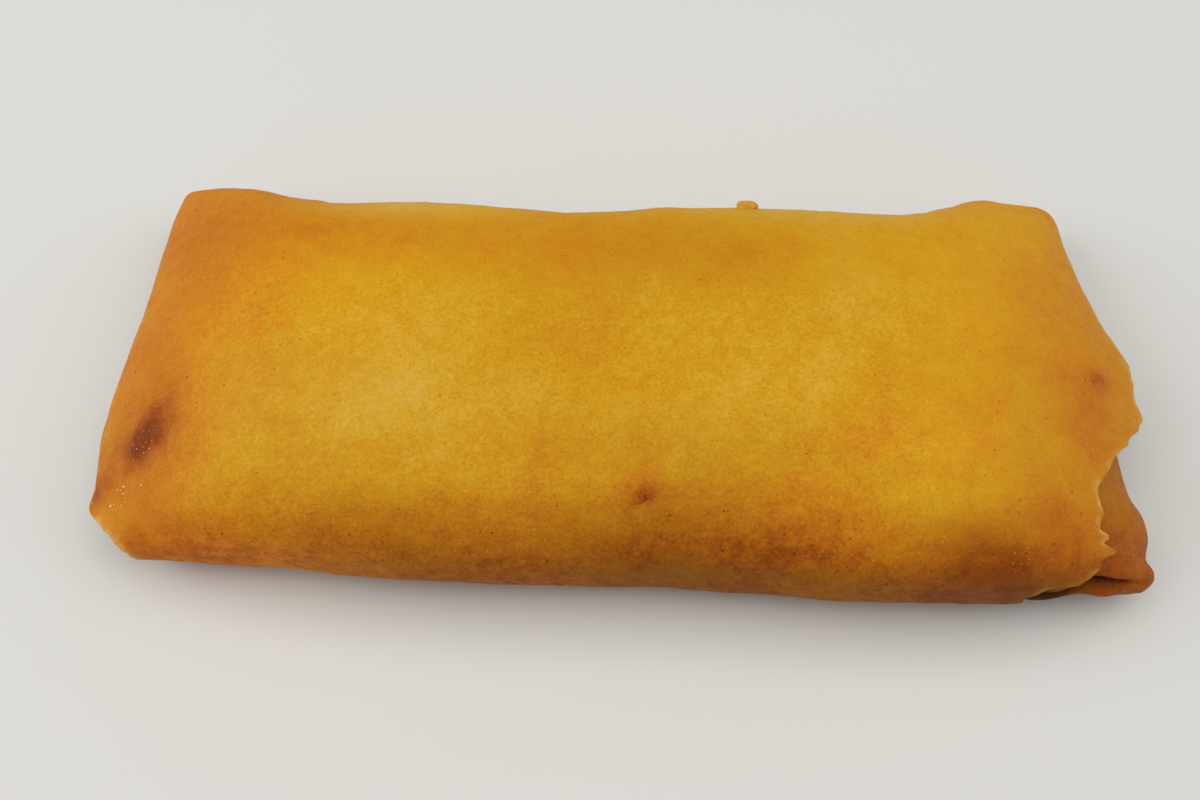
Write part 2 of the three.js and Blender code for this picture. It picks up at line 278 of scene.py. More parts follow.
def closed_faces(ring_count, half):
    """Quads between neighbouring rings that close round the girth, and at both ends strips that
    bridge the upper half's point j to the lower half's point across the slit."""
    count = 2 * half
    r, j = np.meshgrid(np.arange(ring_count - 1), np.arange(count), indexing="ij")
    a = (r * count + j).ravel()
    b = (r * count + (j + 1) % count).ravel()
    sides = np.stack([a, a + count, b + count, b], axis=1)
    j = np.arange(half)
    below = (count - j) % count
    cap = np.stack([j, j + 1, count - j - 1, below], axis=1)
    last = (ring_count - 1) * count
    faces = [tuple(face) for face in sides.tolist()]
    for corners in cap.tolist():
        corners = list(dict.fromkeys(corners))
        faces.append(tuple(corners))
        faces.append(tuple(last + k for k in reversed(corners)))
    return faces


def make_mesh(name, points, faces):
    """Object of the points, given in millimetres, and the faces, shaded smooth."""
    mesh = bpy.data.meshes.new(name)
    mesh.from_pydata((points.reshape(-1, 3) * MM).tolist(), [], faces)
    mesh.polygons.foreach_set("use_smooth", np.ones(len(mesh.polygons), bool))
    mesh.update()
    made = bpy.data.objects.new(name, mesh)
    bpy.context.scene.collection.objects.link(made)
    return made


def set_attribute(piece, name, values, lowest=0.0):
    """Gives the material one value for each point, cut off at the lowest value and at 1."""
    made = piece.data.attributes.new(name, "FLOAT", "POINT")
    made.data.foreach_set("value", np.clip(values, lowest, 1).astype(np.float32).ravel())


def lay_flat(piece, x, q):
    """UV map of the sheet laid flat, in metres: place along the roll and girth distance. A face
    across the middle of the back side has its far corners a whole girth further on."""
    mesh = piece.data
    corner = np.empty(len(mesh.loops), np.int32)
    mesh.loops.foreach_get("vertex_index", corner)
    first = np.empty(len(mesh.polygons), np.int32)
    mesh.polygons.foreach_get("loop_start", first)
    corner_q = q.ravel()[corner]
    span = np.maximum.reduceat(corner_q, first) - np.minimum.reduceat(corner_q, first)
    wraps = np.repeat(span > HALF_GIRTH, np.diff(np.append(first, len(corner))))
    corner_q = corner_q + 2 * HALF_GIRTH * (wraps & (corner_q < 0))
    flat = np.stack([x.ravel()[corner], corner_q], axis=1) * MM
    mesh.uv_layers.new(name="sheet").data.foreach_set("uv", flat.astype(np.float32).ravel())


def spread(count, even):
    """Places from -1 to 1: an even share plus a sine share that is closer at both ends."""
    t = np.linspace(-1, 1, count)
    return even * t + (1 - even) * np.sin(t * math.pi / 2)


# Girth distances once round: close together over the front, where the tears are.
FRONT_TO_Q, FRONT_POINTS, BACK_POINTS = 30, 84, 74
upper = np.concatenate([
    np.linspace(0, FRONT_TO_Q, FRONT_POINTS)[:-1], np.linspace(FRONT_TO_Q, HALF_GIRTH, BACK_POINTS),
])
HALF_COUNT = len(upper) - 1
girth = np.concatenate([upper, -upper[1:-1][::-1]])

# The lip goes round the torn thickness in a half turn, then back under the sheet in four steps.
LIP_FROM, LIP_STEPS = 0.15, 6
LIP_UNDER = [(1.1, -0.8), (1.25, -1.6), (1.6, -3.0), (2.6, -6.0)]
round_over = np.linspace(LIP_FROM, 1, LIP_STEPS) * math.pi
outer_lip = [
    (TORN_THICK / 2 * (1 - math.cos(a)), TORN_BULGE * math.sin(a)) for a in round_over
] + LIP_UNDER
# What tells the turns apart: how far in a turn lies, the length of its shoulder, the turn that it
# lies under, how much its underside is raised, its front side and its fold lines.
outer_turn = dict(
    inset=0.0, shoulder=24.0, under=None, raised_by=0.0, front=FRONT_SIDE,
    folds=(FOLD_LEFT, FOLD_RIGHT),
)
OUTER_STATIONS, EVEN_SHARE = 252, 0.7
outer_stations = spread(OUTER_STATIONS, EVEN_SHARE)
outer_rings = turn_rings(outer_turn, outer_edge, outer_stations, girth, outer_lip, outer_relief)
outer = make_mesh("outer_turn", outer_rings, closed_faces(len(outer_rings), HALF_COUNT))

# How far the sheet has browned, from 0 (pale) to 1 (scorched), by length place and girth. The
# hot oil took the ends and the front lower edge furthest and left the middle of the top gold.
TOP_BROWNING = [
    (-68, 0.53), (-60, 0.57), (-52, 0.52), (-44, 0.42), (-36, 0.33), (-28, 0.27), (-18, 0.27),
    (-8, 0.35), (6, 0.34), (18, 0.31), (28, 0.27), (38, 0.31), (46, 0.38), (54, 0.50), (62, 0.52),
    (68, 0.44),
]
FRONT_BROWNING = [
    (-68, 0.66), (-56, 0.83), (-46, 0.79), (-36, 0.77), (-24, 0.69), (-8, 0.73), (16, 0.84),
    (28, 0.82), (36, 0.83), (44, 0.87), (54, 0.85), (64, 0.72),
]
# Girth distance where the front band's brown has half faded into the top's gold.
FRONT_FADES = [
    (-68, 8), (-52, 7.5), (-42, 8), (-32, 10), (-18, 11.4), (-8, 10.6), (4, 12), (14, 11.6),
    (20, 13), (30, 11), (37, 9.8), (44, 10.4), (50, 11.6), (60, 10.6),
]
FADE_HALF = 6.0
# Browner strip along the back: what it adds, its girth distance and half width, and where it ends.
BACK_BROWNING, BACK_AT, BACK_HALF, BACK_ENDS = 0.09, 51.0, 6.0, (16, 34)
# Even browning of the underside, and from how far round it begins.
UNDER_BROWNING, UNDER_FROM_Q = 0.62, (8, 20)
# The back side below its rim has browned like the front band, from this girth distance on.
BEHIND_BROWNING, BEHIND_FROM = 0.74, 63.5
# Spots: length place, girth distance, half widths along and round, slant, and browning. They
# are the blisters by both folds, the pit, the chip's rim, and places a little browner or paler.
SPOTS = [
    (-58.9, 18.3, 2.9, 2.7, 0.15, 0.30), (-57.8, 21.3, 1.7, 2.7, 0.5, 0.13),
    (-58.4, 19.5, 5.8, 6.2, 0.3, 0.13), (-55.8, 19.5, 4, 5, 0.2, 0.12), (-65, 14, 3, 4, 0, 0.14),
    (-66.4, 12.8, 0.9, 1.2, 0, 0.22), (-66, 13.5, 2, 2.5, 0, 0.08), (-62, 57, 1.5, 1.5, 0, 0.04),
    (-58, 52, 2, 1.2, 0, 0.03), (2.7, 12.7, 0.25, 0.5, 0.9, 0.4), (2.9, 13.5, 2.6, 2.3, 0, 0.31),
    (5, 10.8, 2.5, 1.8, 0, -0.07), (59.8, 30.1, 1.4, 1.4, 0, 0.21),
    (58.2, 29.6, 3.6, 3.0, 0, 0.17), (57.5, 24, 4.5, 5, 0, 0.14),
    (57.6, 26.8, 1.6, 1.5, 0, -0.07), (28, 22.5, 6, 5, 0.4, 0.13), (17, 17, 5, 3, 0, 0.08),
    (-31, 17, 4, 2.5, 0.4, 0.08), (42, 26, 4, 3, 0, 0.08), (-12, 18, 6, 5, 0, 0.06),
    (1, 17, 6, 5, 0, 0.06), (27, 16, 6, 5, 0, 0.07), (41, 17, 6, 5, 0, 0.05),
    (-30, 53, 14, 3.5, 0, 0.08), (28, 9, 4.5, 3.5, 0, -0.12), (40.4, 9.4, 3.8, 3.0, 0, 0.19),
    (50, 13.3, 2.3, 1.9, 0, 0.12), (45.6, 10.2, 2.2, 1.8, 0, -0.09), (47, 8.2, 3, 2, 0, 0.05),
    (12.5, 14, 4, 3.5, 0, 0.09), (55, 10.5, 2, 2, 0, -0.06), (-48, 11.5, 4, 2.5, 0, -0.07),
    (36, 59, 4, 3, 0, -0.14), (48, 26, 2.8, 4, 0, -0.09), (-42, 53, 4, 2.5, 0, 0.08),
    (-18, 56, 4, 3, 0, 0.08), (-60, 28, 3.5, 7, 0, 0.06), (-57, 5.5, 7, 3, 0, 0.08),
    (54, 54, 7, 7, 0, -0.06), (48, 34, 3, 3, 0, 0.06), (55, 58, 9, 8, 0, -0.22),
    (-46, 26, 6, 6, 0, -0.08), (-31, 22.5, 9, 4, 0, -0.11), (1, 24, 9, 4.5, 0, -0.11),
    (24, 28.5, 3.5, 4, 0, -0.12), (-29, 27.5, 8, 5, -0.4, -0.05), (30, 42, 5, 6, 0, -0.06),
    (14, 29, 8, 4, 0, -0.06), (-12, 27, 5, 4, 0, -0.08), (-63.5, 9, 3, 2, 0, -0.15),
    (-43, 16, 4, 3, 0, -0.08),
]
# Patchiness as cell size and strength, stronger by the given share round the front band.
PATCHES = [(12.0, 0.045), (6.0, 0.042), (3.0, 0.038), (1.5, 0.040)]
BAND_PATCHIER, BAND_REACH = 0.08, 9.0
# Share of the patchiness that the smooth left back corner lacks, and where that corner begins.
SMOOTH_CORNER, SMOOTH_FROM_X, SMOOTH_FROM_Q = 0.6, (-42, -52), (38, 48)
# What the lowest edge of the front adds to the browning, by length place, and where by girth.
EDGE_BROWNING = [
    (-64, 0.05), (-54, -0.03), (-48, 0.02), (-38, -0.05), (-30, -0.02), (-20, 0.06), (-6, -0.03),
    (0, -0.04), (6, -0.18), (14, -0.11), (24, -0.20), (30, -0.12), (36, -0.04), (42, 0),
    (48, -0.12), (56, -0.10),
]
EDGE_FROM_Q = (7.5, 3.5)


def browning(x, q):
    """The top's browning, blended into the front band's below the line where that fades, plus
    the edge's share, the browner strip along the back, the spots' bells and patchiness."""
    line = through(FRONT_FADES, x)
    in_front = 1 - smooth_step(q, line - FADE_HALF, line + FADE_HALF)
    brown = through(TOP_BROWNING, x) * (1 - in_front) + through(FRONT_BROWNING, x) * in_front
    brown = brown + through(EDGE_BROWNING, x) * smooth_step(q, *EDGE_FROM_Q)
    under = smooth_step(-q, *UNDER_FROM_Q)
    brown = brown * (1 - under) + UNDER_BROWNING * under
    brown = brown + BACK_BROWNING * bell(q - BACK_AT, BACK_HALF) * (1 - smooth_step(x, *BACK_ENDS))
    behind = smooth_step(np.abs(q), BEHIND_FROM, HALF_GIRTH)
    brown = brown * (1 - behind) + BEHIND_BROWNING * behind
    for at, round_at, along, around, slant, amount in SPOTS:
        dx = x - at - slant * (q - round_at)
        brown = brown + amount * bell(dx, along) * bell(q - round_at, around)
    near_band = bell(q - line + FADE_HALF / 2, BAND_REACH)
    corner = smooth_step(x, *SMOOTH_FROM_X) * smooth_step(q, *SMOOTH_FROM_Q)
    patchy = 1 + BAND_PATCHIER * near_band - SMOOTH_CORNER * corner
    for k, (cell, amount) in enumerate(PATCHES):
        brown = brown + amount * patchy * unevenness(x, q, cell, seed=60 + k)
    return brown


# Bare crumb of the dough along the left and the right torn edge, as width, strength and how far
# it comes and goes. At the left chip a single sheet stands out and light shines through it.
PALE_WIDTH, PALE_STRENGTH, PALE_UNEVEN = (0.85, 0.58), (0.95, 0.85), (0.4, 0.7)
# It comes up where this much is torn off, in cells of this size. The step gives the tear's lean.
PALE_FROM_TORN, PALE_CELL, LEAN_STEP = (0.2, 1.2), 0.9, 0.4
# Painted sheen: paler places where the sheet catches light, along the back rim and over the left of
# the top, as length place, girth distance, half widths along and round, strength.
PAINTED_SHEEN = [(-29, 60, 13, 3.4, 0.55), (24, 61, 20, 3.2, 0.55), (-38, 24, 14, 9, 0.10)]
PAINTED_SHEEN_UNEVEN, PAINTED_SHEEN_CELL = 0.25, 5.0


def crumb_and_sheen(x, q):
    """Strength of the pale crumb: a bell in the distance from the torn edge, which is the distance
    along the roll less for the edge's lean, where more than a little is torn off. The paler places of
    painted sheen are added on top."""
    crumb = np.zeros(np.broadcast(x, q).shape)
    for end, torn_edge in enumerate((TORN_LEFT, TORN_RIGHT)):
        lean = through(torn_edge, q + LEAN_STEP) - through(torn_edge, q - LEAN_STEP)
        away = np.abs(outer_edge(end, q) - x) / np.hypot(1, lean / (2 * LEAN_STEP))
        torn = smooth_step(through(torn_edge, q), *PALE_FROM_TORN)
        patchy = 1 - PALE_UNEVEN[end] * (1 - unevenness(x, q, PALE_CELL, seed=90))
        crumb = np.maximum(crumb, PALE_STRENGTH[end] * torn * bell(away, PALE_WIDTH[end]) * patchy)
    # Painted sheen: the paler places where light catches the sheet.
    for at, round_at, along, around, strength in PAINTED_SHEEN:
        place_in = bell(x - at, along) * bell(q - round_at, around)
        patchy = 1 - PAINTED_SHEEN_UNEVEN + PAINTED_SHEEN_UNEVEN * unevenness(x, q, PAINTED_SHEEN_CELL, seed=91)
        crumb = crumb + strength * place_in * patchy
    return crumb


ring_q = np.broadcast_to(girth, outer_rings.shape[:2])
ring_x = outer_rings[:, :, 0]
set_attribute(outer, "browning", browning(ring_x, ring_q))
set_attribute(outer, "pale", crumb_and_sheen(ring_x, ring_q))
# Painted shade over the front band, most in its middle and by the tear, by length place.
FRONT_PAINTED_SHADE = [
    (-68, 0), (-44, 0), (-30, 0.11), (-14, 0.10), (0, 0.21), (14, 0.14), (26, 0.02), (34, 0.10),
    (41, 0.17), (50, 0.03), (68, 0),
]
# Where by girth the band's painted shade fades out, and the most painted light that a place may get,
# as a value below 0.
PAINTED_SHADE_FADES, MOST_PAINTED_LIGHT = (10, 16), -0.4
# Painted shade along the lowest edge, where the roll meets the floor, and painted light towards the
# left, where more light falls.
EDGE_PAINTED_SHADE = [
    (-64, -0.25), (-54, -0.34), (-48, -0.27), (-42, -0.28), (-36, -0.12), (-30, -0.08), (-24, 0.06),
    (-12, 0.02), (-6, 0.06), (0, 0.11), (6, 0.20), (14, 0.20), (24, 0.26), (30, 0.26), (36, 0.10),
    (42, 0.04), (48, 0.38), (56, 0.25),
]
# Painted shade, and painted light where the share is below 0, for light that falls unevenly over the
# roll: length place, girth distance, half widths along and round, share.
PAINTED_SHADE_AND_LIGHT = [
    (8, 50, 18, 9, 0.07), (4, 19, 15, 5, 0.08), (12, 15, 9, 2.5, 0.06), (-60, 20, 7, 12, 0.06),
    (-38, 41, 13, 9, -0.07), (48, 42, 9, 12, -0.07), (35, 21, 8, 8, -0.08), (54, 55, 8, 7, -0.05),
]
front_painted_shade = through(FRONT_PAINTED_SHADE, ring_x) * (1 - smooth_step(ring_q, *PAINTED_SHADE_FADES))
for at, round_at, along, around, share in PAINTED_SHADE_AND_LIGHT:
    front_painted_shade = front_painted_shade + share * bell(ring_x - at, along) * bell(ring_q - round_at, around)
front_painted_shade = front_painted_shade + through(EDGE_PAINTED_SHADE, ring_x) * smooth_step(ring_q, *EDGE_FROM_Q)
front_painted_shade = front_painted_shade * (1 - smooth_step(-ring_q, *UNDER_FROM_Q))
set_attribute(outer, "painted_shade", front_painted_shade, MOST_PAINTED_LIGHT)
# The crust's grain is full over the middle and lies flatter towards the left end, the right end
# and the back, from and to the given places.
FINER_LEFT, FINER_RIGHT, FINER_Q, FINER_SHARE = (48, 60), (30, 44), (38, 48), 0.5
finer = np.maximum(smooth_step(-ring_x, *FINER_LEFT), smooth_step(ring_x, *FINER_RIGHT))
finer = np.maximum(finer, smooth_step(ring_q, *FINER_Q))
set_attribute(outer, "crusty", 1 - FINER_SHARE * finer)
lay_flat(outer, ring_x, ring_q)


def linear(hex_colour):
    """Linear colour of an sRGB hex value, with alpha 1."""
    parts = [int(hex_colour[k:k + 2], 16) / 255 for k in (1, 3, 5)]
    return tuple(((c + 0.055) / 1.055) ** 2.4 if c > 0.04045 else c / 12.92 for c in parts) + (1.0,)


def add(material, kind, sockets, **settings):
    """Adds a node with its settings. Each socket, by name or number, gets a value or a link. In a
    Mix node of colours, sockets 6 and 7 are the two colours and output 2 is the mixed one."""
    tree = material.node_tree
    node = tree.nodes.new(kind)
    for name, value in settings.items():
        setattr(node, name, value)
    for socket, value in sockets.items():
        if isinstance(value, bpy.types.NodeSocket):
            tree.links.new(value, node.inputs[socket])
        else:
            node.inputs[socket].default_value = value
    return node


def new_material(name):
    """Node material of this name with no node in it yet."""
    made = bpy.data.materials.new(name)
    made.use_nodes = True
    made.node_tree.nodes.clear()
    return made


# Wheat dough fried crisp: matt to the eye, thinly coated with oil, its grain a fine crust of
# blisters under a millimetre wide, its colour from straw over gold and orange to brown.
DOUGH_COLOURS = [
    (0.00, "#D5A840"), (0.15, "#D3A229"), (0.30, "#CE9614"), (0.45, "#CC8914"), (0.58, "#C77B14"),
    (0.70, "#BF6F13"), (0.82, "#AB5911"), (0.92, "#98490D"), (1.00, "#80390A"),
]
PALE_COLOUR = "#D9AE55"
# Half a wave of the grain and of the coarser mottle, what each adds to the browning, and how much the
# grain lightens or darkens the colour, which is painted shade of its tiny blisters. A noise lies
# between the two levels nearly everywhere.
GRAIN_MM, MOTTLE_MM = 0.22, 0.8
GRAIN_TONE, MOTTLE_TONE, GRAIN_SHADE = 0.06, 0.09, 0.08
NOISE_LOW, NOISE_HIGH = 0.3, 0.7
# Roughness from the mottle, relief from the grain and half the mottle.
SMOOTHEST, ROUGHEST = 0.48, 0.68
BUMP_MM, BUMP_STRENGTH, BUMP_MOTTLE = 0.25, 0.55, 0.5
# Pits and pale blister tips, a few tenths of a millimetre wide, as cell, radius, share of the cells
# that hold one, and strength. The tips' paleness is partly the crust's own colour and partly a
# painted highlight of light caught on the blister tops. Each fades over a share of its radius. The
# tips crowd in clusters, given as cluster size and the noise levels between which they come up.
PIT_CELL, PIT_RADIUS, PIT_SHARE, PIT_TONE = 1.2, 0.24, 0.45, 0.36
TIP_CELL, TIP_RADIUS, TIP_SHARE, TIP_PALE_HIGHLIGHT = 0.65, 0.19, 0.6, 0.62
SPECK_FADES = 0.5
TIP_HIGHLIGHT_COLOUR = "#DDB148"
CLUSTER_MM, CLUSTER_FROM, CLUSTER_TO = 3.0, 0.42, 0.62
dough = new_material("fried_wheat_dough")
place = add(dough, "ShaderNodeTexCoord", {}).outputs["Object"]
grain = add(dough, "ShaderNodeTexNoise", {
    "Vector": place, "Scale": 1 / (2 * GRAIN_MM * MM), "Detail": 3.0, "Roughness": 0.6,
}).outputs["Fac"]
mottle = add(dough, "ShaderNodeTexNoise", {
    "Vector": place, "Scale": 1 / (2 * MOTTLE_MM * MM), "Detail": 4.0, "Roughness": 0.65,
}).outputs["Fac"]
browned = add(dough, "ShaderNodeAttribute", {}, attribute_name="browning").outputs["Fac"]
grained = add(dough, "ShaderNodeMapRange", {
    "Value": grain, "From Min": NOISE_LOW, "From Max": NOISE_HIGH,
    "To Min": -GRAIN_TONE, "To Max": GRAIN_TONE,
}).outputs["Result"]
mottled = add(dough, "ShaderNodeMapRange", {
    "Value": mottle, "From Min": NOISE_LOW, "From Max": NOISE_HIGH,
    "To Min": -MOTTLE_TONE, "To Max": MOTTLE_TONE,
}).outputs["Result"]
uneven = add(dough, "ShaderNodeMath", {0: grained, 1: mottled}, operation="ADD").outputs[0]
on_sheet = add(dough, "ShaderNodeUVMap", {}, uv_map="sheet").outputs["UV"]
specks = []
for cell, radius, share in ((PIT_CELL, PIT_RADIUS, PIT_SHARE), (TIP_CELL, TIP_RADIUS, TIP_SHARE)):
    cells = add(dough, "ShaderNodeTexVoronoi", {"Vector": on_sheet, "Scale": 1 / (cell * MM)},
                voronoi_dimensions="2D")
    size = add(dough, "ShaderNodeMapRange", {
        "Value": cells.outputs["Color"], "From Min": 1 - share, "To Max": radius / cell,
    }).outputs["Result"]
    inside = add(dough, "ShaderNodeMath", {
        0: size, 1: cells.outputs["Distance"],
    }, operation="SUBTRACT").outputs[0]
    specks.append(add(dough, "ShaderNodeMapRange", {
        "Value": inside, "From Max": SPECK_FADES * radius / cell,
    }, interpolation_type="SMOOTHSTEP").outputs["Result"])
pits, tips = specks
crusty = add(dough, "ShaderNodeAttribute", {}, attribute_name="crusty").outputs["Fac"]
cluster = add(dough, "ShaderNodeTexNoise", {
    "Vector": place, "Scale": 1 / (2 * CLUSTER_MM * MM), "Detail": 2.0,
}).outputs["Fac"]
crowded = add(dough, "ShaderNodeMapRange", {
    "Value": cluster, "From Min": CLUSTER_FROM, "From Max": CLUSTER_TO, "To Max": TIP_PALE_HIGHLIGHT,
}).outputs["Result"]
spotted = add(dough, "ShaderNodeMath", {
    0: uneven, 1: crusty, 2: browned,
}, operation="MULTIPLY_ADD").outputs[0]
tone = add(dough, "ShaderNodeMath", {
    0: pits, 1: PIT_TONE, 2: spotted,
}, operation="MULTIPLY_ADD").outputs[0]
ramp = add(dough, "ShaderNodeValToRGB", {"Fac": tone})
while len(ramp.color_ramp.elements) < len(DOUGH_COLOURS):
    ramp.color_ramp.elements.new(0.5)
for element, (at, colour) in zip(ramp.color_ramp.elements, DOUGH_COLOURS):
    element.position = at
    element.color = linear(colour)
# Painted shade of the grain's tiny blisters: darker where the grain is browner.
lighter = add(dough, "ShaderNodeMapRange", {
    "Value": grain, "From Min": NOISE_LOW, "From Max": NOISE_HIGH,
    "To Min": GRAIN_SHADE, "To Max": -GRAIN_SHADE,
}).outputs["Result"]
shade = add(dough, "ShaderNodeMath", {
    0: lighter, 1: crusty, 2: 1.0,
}, operation="MULTIPLY_ADD").outputs[0]
shaded = add(dough, "ShaderNodeVectorMath", {
    0: ramp.outputs["Color"], "Scale": shade,
}, operation="SCALE").outputs["Vector"]
# Pale tips, partly the crust's own colour and partly painted highlight.
tipped = add(dough, "ShaderNodeMath", {0: tips, 1: crowded}, operation="MULTIPLY").outputs[0]
tip_lit = add(dough, "ShaderNodeMix", {
    "Factor": tipped, 6: shaded, 7: linear(TIP_HIGHLIGHT_COLOUR),
}, data_type="RGBA").outputs[2]
pale_here = add(dough, "ShaderNodeAttribute", {}, attribute_name="pale").outputs["Fac"]
paled = add(dough, "ShaderNodeMix", {
    "Factor": pale_here, 6: tip_lit, 7: linear(PALE_COLOUR),
}, data_type="RGBA").outputs[2]
# Painted shade and light: the colour is taken down by its share of painted shade, and raised where
# that share is below 0, which paints light.
painted_shade_here = add(dough, "ShaderNodeAttribute", {}, attribute_name="painted_shade").outputs["Fac"]
painted_light_share = add(dough, "ShaderNodeMath", {0: 1.0, 1: painted_shade_here}, operation="SUBTRACT").outputs[0]
shade_painted_colour = add(dough, "ShaderNodeVectorMath", {
    0: paled, "Scale": painted_light_share,
}, operation="SCALE").outputs["Vector"]
rough = add(dough, "ShaderNodeMapRange", {
    "Value": mottle, "From Min": NOISE_LOW, "From Max": NOISE_HIGH,
    "To Min": SMOOTHEST, "To Max": ROUGHEST,
}).outputs["Result"]
raised = add(dough, "ShaderNodeMath", {
    0: mottle, 1: BUMP_MOTTLE, 2: grain,
}, operation="MULTIPLY_ADD").outputs[0]
bump = add(dough, "ShaderNodeBump", {
    "Height": raised, "Strength": BUMP_STRENGTH, "Distance": BUMP_MM * MM,
})
crust = add(dough, "ShaderNodeBsdfPrincipled", {
    "Base Color": shade_painted_colour, "Roughness": rough, "Normal": bump.outputs["Normal"],
    "Specular IOR Level": 0.07, "Subsurface Weight": 0.05, "Subsurface Scale": 0.5 * MM,
    "Subsurface Radius": (1.0, 0.45, 0.15), "Coat Weight": 0.02, "Coat Roughness": 0.35,
})
add(dough, "ShaderNodeOutputMaterial", {"Surface": crust.outputs["BSDF"]})

outer.data.materials.append(dough)
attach(outer, "root")
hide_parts("egg_roll")

# The turn below, bared by the tear. The same sheet one turn further in, folded over at the
# right end into an ear whose fold gapes like a mouth at the front corner.
INNER_FRONT_SIDE = [
    (-68, -25.2), (-40, -27.2), (40, -29.8), (48, -30.7), (52, -30.8), (56, -29.5), (60, -29.4),
    (68, -27.6),
]
INNER_FOLD_LEFT = [
    (0, -55), (14, -57.5), (20, -61), (26, -65), (31, -66.5), (40, -66.5), (60, -66.5), (65, -66.4),
    (68, -65.6), (70, -64),
]
INNER_FOLD_RIGHT = [
    (0, 64.4), (3, 65.5), (6, 66.2), (9, 65.6), (12, 66.4), (14.5, 66.3), (17, 65.4), (20, 65),
    (24, 64.9), (28, 65.6), (31, 65.8), (34, 65.9), (37, 66.6), (41, 65.7), (45, 64.1), (50, 63.2),
    (57, 62.8), (66, 62.2), (70, 59.5),
]
# The mouth's middle line, half height and depth by length place, and where it begins to open.
MOUTH_LINE = [(46, -1.5), (51, -0.8), (54, 0.2), (57, 2.1), (61, 3.2), (65, 4.0)]
MOUTH_HALF = [(46, 2.6), (51, 2.4), (54, 2.2), (57, 1.9), (61, 1.2), (65, 0.8)]
MOUTH_DEPTH = [(44, 1.0), (53, 1.4), (57, 3.2), (60, 2.5), (62.5, 0.7), (65, 0.0)]
MOUTH_OPENS = (39, 45)
inner_turn = dict(
    inset=SHEET, shoulder=17.0, under=outer_turn, raised_by=0.4, front=INNER_FRONT_SIDE,
    folds=(INNER_FOLD_LEFT, INNER_FOLD_RIGHT),
)
# Its lip, as insets and distances from the edge.
inner_lip = [(0.1, 0.2), (0.45, 0.35), (0.8, 0.36), (1.2, 0.3), (1.65, -0.4), (1.9, -2.4)]
# Stations lie close together from this place of the turn to its right end, where it shows.
EAR_STATION, HIDDEN_STATIONS, EAR_STATIONS = 0.5, 44, 84


def mouth_depth(x, q):
    """Depth of the mouth below the sheet: a bell round its middle line, deepest near its end."""
    depth = smooth_step(x, *MOUTH_OPENS) * through(MOUTH_DEPTH, x)
    return depth * bell(q - through(MOUTH_LINE, x), through(MOUTH_HALF, x))


def inner_relief(x, q):
    """The mouth sunk below the sheet, plus the finer three kinds of the sheet's unevenness."""
    height = -mouth_depth(x, q)
    for k, (cell, size) in enumerate(UNEVEN[1:]):
        height = height + size * unevenness(x, q, cell, seed=120 + k)
    return height


inner_stations = np.concatenate([
    np.linspace(-1, EAR_STATION, HIDDEN_STATIONS)[:-1], np.linspace(EAR_STATION, 1, EAR_STATIONS),
])
inner_rings = turn_rings(inner_turn, inner_edge, inner_stations, girth, inner_lip, inner_relief)
inner = make_mesh("turn_below", inner_rings, closed_faces(len(inner_rings), HALF_COUNT))
ring_q = np.broadcast_to(girth, inner_rings.shape[:2])
ring_x = inner_rings[:, :, 0]
# Browning and painted shade of the ear by girth distance: brown along the lower lip and the mouth,
# paler in tone on top but darkened there by painted shade, where the ear faces away from the light.
# Then what a millimetre of the mouth's depth adds to both as painted shade in its recess, the even
# browning of the rest of the turn, where the ear begins, and the ear's patches.
EAR_BROWNING = [(-10, 0.80), (0, 0.80), (4, 0.85), (8, 0.83), (11, 0.76), (14, 0.66), (24, 0.62)]
EAR_PAINTED_SHADE = [(-10, 0.30), (0, 0.15), (4, 0.04), (8, 0.06), (12, 0.18), (17, 0.26), (25, 0.34)]
MOUTH_BROWN_SHADE, MOUTH_PAINTED_SHADE = 0.05, 0.19
INNER_BROWNING, EAR_FROM = 0.64, (30, 40)
EAR_PATCHES = [(4.0, 0.05), (1.6, 0.05)]
# Painted shadow in the gap under the torn edge, where it ends by length place and girth distance, and
# the most painted shade that any place gets.
GAP_PAINTED_SHADOW, GAP_TO_X, GAP_TO_Q, MOST_PAINTED_SHADE = 0.6, (58.5, 53), (5, 2), 0.82
gap_painted_shadow = GAP_PAINTED_SHADOW * smooth_step(ring_x, *GAP_TO_X) * smooth_step(ring_q, *GAP_TO_Q)
ear_mouth = mouth_depth(ring_x, ring_q)
ear_painted_shade = through(EAR_PAINTED_SHADE, ring_q) + MOUTH_PAINTED_SHADE * ear_mouth + gap_painted_shadow
ear_brown = through(EAR_BROWNING, ring_q) + MOUTH_BROWN_SHADE * ear_mouth
in_ear = smooth_step(ring_x, *EAR_FROM)
inner_brown = INNER_BROWNING * (1 - in_ear) + ear_brown * in_ear
for k, (cell, amount) in enumerate(EAR_PATCHES):
    inner_brown = inner_brown + amount * unevenness(ring_x, ring_q, cell, seed=130 + k)
set_attribute(inner, "browning", inner_brown)
set_attribute(inner, "pale", np.zeros(ring_x.shape))
set_attribute(inner, "crusty", np.full(ring_x.shape, 1 - FINER_SHARE))
set_attribute(inner, "painted_shade", np.minimum(ear_painted_shade, MOST_PAINTED_SHADE) * in_ear)
lay_flat(inner, ring_x, ring_q)
inner.data.materials.append(dough)
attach(inner, "root")
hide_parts("egg_roll")

# Burnt flecks: specks of flour that scorched on the sheet, a third of a millimetre wide, each a
# low six-sided cone whose skirt is sunk in the crust.
FLECKS, FLECK_SIDES = 90, 6
FLECK_RADIUS = (0.11, 0.24)
FLECK_RISE, FLECK_SINK = 0.06, 0.12
